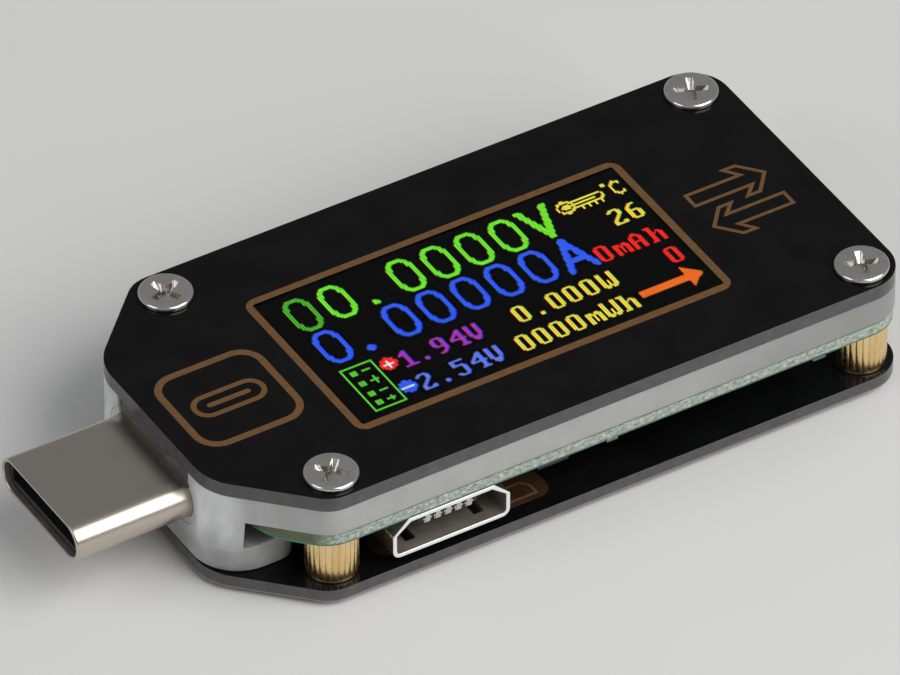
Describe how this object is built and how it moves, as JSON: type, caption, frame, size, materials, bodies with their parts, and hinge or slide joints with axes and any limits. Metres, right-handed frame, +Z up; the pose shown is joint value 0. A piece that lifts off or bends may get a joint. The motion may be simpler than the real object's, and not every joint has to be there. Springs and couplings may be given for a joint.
{
  "type": "usb power meter",
  "caption": "Pass-through USB-C tester with a colour display between two thin panels, a plug at one end, a socket at the other and a key on the side.",
  "frame": {"origin": "middle of the bounding box, on the plane that the bottom screw heads rest on", "axes": "+X along the body from the plug to the socket, +Y towards the side with the key, +Z up through the display"},
  "size_m": [0.0488, 0.0218, 0.008],
  "materials": {
    "black_acrylic": "glossy, black print behind clear acrylic, satin cut edges",
    "grey_spacer": "satin moulded",
    "green_board": "green solder mask, rough pale cut edge",
    "nickel_screw": "nickel plated",
    "brass_standoff": "bright knurled",
    "steel_shell": "satin drawn steel",
    "black_resin": "moulded",
    "gold_contact": "gold plated",
    "white_frame": "moulded",
    "display_glass": "polished",
    "amber_film": "polyimide film",
    "chip_epoxy": "moulded epoxy",
    "ceramic_tan": "fired ceramic",
    "key_cap": "moulded",
    "gilt_print": "bronze ink"
  },
  "bodies": {
    "housing": {"top_panel": "black_acrylic", "bottom_panel": "black_acrylic", "spacer_frame": "grey_spacer", "main_board": "green_board", "top_screw_1": "nickel_screw", "top_screw_2": "nickel_screw", "top_screw_3": "nickel_screw", "top_screw_4": "nickel_screw", "bottom_screw_1": "nickel_screw", "bottom_screw_2": "nickel_screw", "bottom_screw_3": "nickel_screw", "bottom_screw_4": "nickel_screw", "standoff_1": "brass_standoff", "standoff_2": "brass_standoff", "standoff_3": "brass_standoff", "standoff_4": "brass_standoff", "plug_shell": "steel_shell", "plug_latch": "steel_shell", "socket_shell": "steel_shell", "micro_usb_shell": "steel_shell", "key_cover": "steel_shell", "crystal": "steel_shell", "plug_insulator": "black_resin", "socket_insulator": "black_resin", "micro_usb_insulator": "black_resin", "key_base": "black_resin", "plug_contacts_upper": "gold_contact", "plug_contacts_lower": "gold_contact", "socket_contacts_upper": "gold_contact", "socket_contacts_lower": "gold_contact", "micro_usb_contacts": "gold_contact", "key_dome": "gold_contact", "display_backlight": "white_frame", "display_glass": "display_glass", "display_polarizer": "display_glass", "display_flex": "amber_film", "display_tape": "chip_epoxy", "microcontroller": "chip_epoxy", "memory_chip": "chip_epoxy", "current_sense_amplifier": "chip_epoxy", "voltage_regulator": "chip_epoxy", "fast_charge_controller": "chip_epoxy", "protection_diode": "chip_epoxy", "shunt_resistor": "chip_epoxy", "inductor": "chip_epoxy", "divider_resistor_high": "chip_epoxy", "divider_resistor_low": "chip_epoxy", "input_capacitor": "ceramic_tan", "output_capacitor": "ceramic_tan"},
    "key": {"key_plunger": "key_cap"}
  },
  "joints": [
    {"name": "key_press", "type": "slide", "parent": "housing", "child": "key", "axis": [0, -1, 0], "range_m": [0, 0.00025], "stiffness_N_per_m": 600, "springref_m": -0.001}
  ]
}
